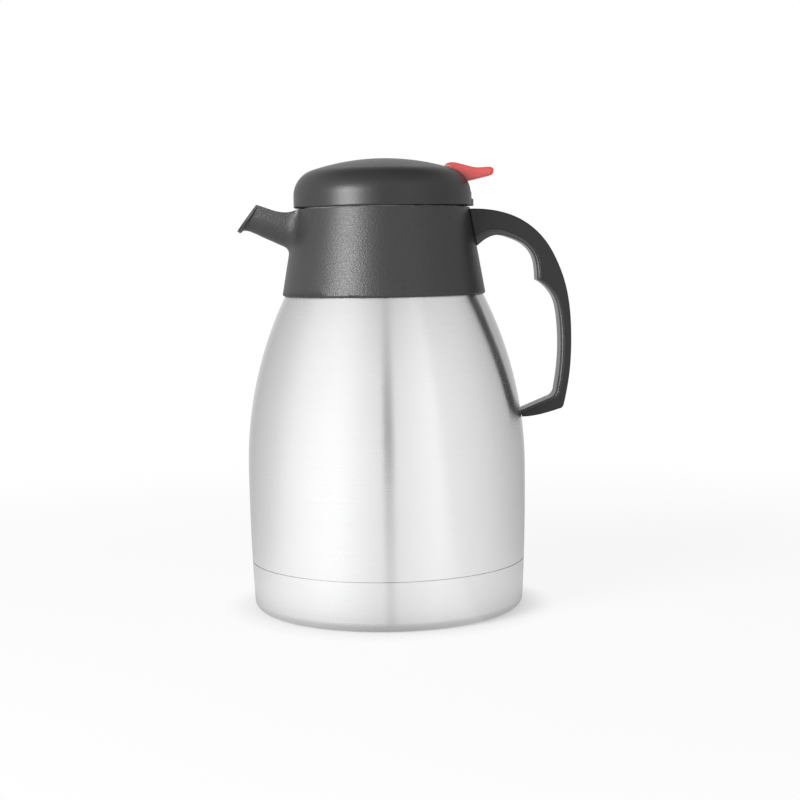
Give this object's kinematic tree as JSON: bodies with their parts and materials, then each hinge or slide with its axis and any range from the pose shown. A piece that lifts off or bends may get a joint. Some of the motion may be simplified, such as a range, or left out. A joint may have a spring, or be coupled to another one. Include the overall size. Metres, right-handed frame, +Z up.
{
  "type": "thermal jug",
  "caption": "Vacuum-insulated serving jug: bowed brushed steel body, black collar with an open spout, C-shaped handle, and a screw-in domed stopper whose red thumb lever lifts a valve.",
  "frame": {"origin": "on the jug's axis, on the plane that the foot ring stands on", "axes": "+Z up along the jug's axis, +X towards the handle, the spout points to -X"},
  "size_m": [0.1624, 0.1366, 0.2204],
  "materials": {
    "brushed_shell": "stainless steel, fine brushing round the body",
    "drawn_liner": "stainless steel, satin as drawn",
    "small_steel": "bright stainless steel",
    "getter_metal": "dull grey metal",
    "collar_plastic": "charcoal polypropylene with fine spark grain",
    "handle_plastic": "charcoal polypropylene, finely textured",
    "strip_plastic": "dark grey polypropylene, satin",
    "dome_plastic": "charcoal polypropylene, satin",
    "lever_red": "coral red, polished",
    "inner_plastic": "dark grey polypropylene",
    "silicone": "translucent white silicone"
  },
  "bodies": {
    "vessel": {"outer_shell": "brushed_shell", "base_cup": "brushed_shell", "inner_liner": "drawn_liner", "getter": "getter_metal", "vacuum_seal": "getter_metal", "base_cover": "inner_plastic", "neck_gasket": "silicone", "throat_ring": "inner_plastic", "collar": "collar_plastic", "handle_shell": "handle_plastic", "handle_insert": "strip_plastic", "handle_anchor": "small_steel", "handle_screws": "small_steel"},
    "seal": {"stopper_seal": "silicone"},
    "lid": {"lid_dome": "dome_plastic", "stopper_body": "inner_plastic", "lid_gasket": "silicone", "stem_seal": "silicone", "lever_pin": "small_steel", "valve_spring": "small_steel"},
    "lever": {"thumb_lever": "lever_red"},
    "valve": {"valve_stem": "inner_plastic", "stem_cap": "inner_plastic", "valve_disc": "inner_plastic", "valve_seal": "silicone"}
  },
  "joints": [
    {"name": "lid_rise", "type": "slide", "parent": "vessel", "child": "seal", "axis": [0, 0, 1], "range_m": [0, 0.025]},
    {"name": "lid_unscrew", "type": "hinge", "parent": "seal", "child": "lid", "pos_m": [0, 0, 0.19], "axis": [0, 0, 1], "range_deg": [0, 900]},
    {"name": "lever_press", "type": "hinge", "parent": "lid", "child": "lever", "pos_m": [0.025, 0, 0.2085], "axis": [0, 1, 0], "range_deg": [0, 9], "stiffness_Nm_per_rad": 0.12, "springref_deg": -8.59},
    {"name": "valve_lift", "type": "slide", "parent": "lid", "child": "valve", "axis": [0, 0, 1], "range_m": [0, 0.00392], "deforming": ["valve_spring"]}
  ],
  "couplings": [
    {"joint": "lid_unscrew", "follows": "lid_rise", "rad_per_m": 628.32},
    {"joint": "lever_press", "follows": "valve_lift", "rad_per_m": 40}
  ]
}
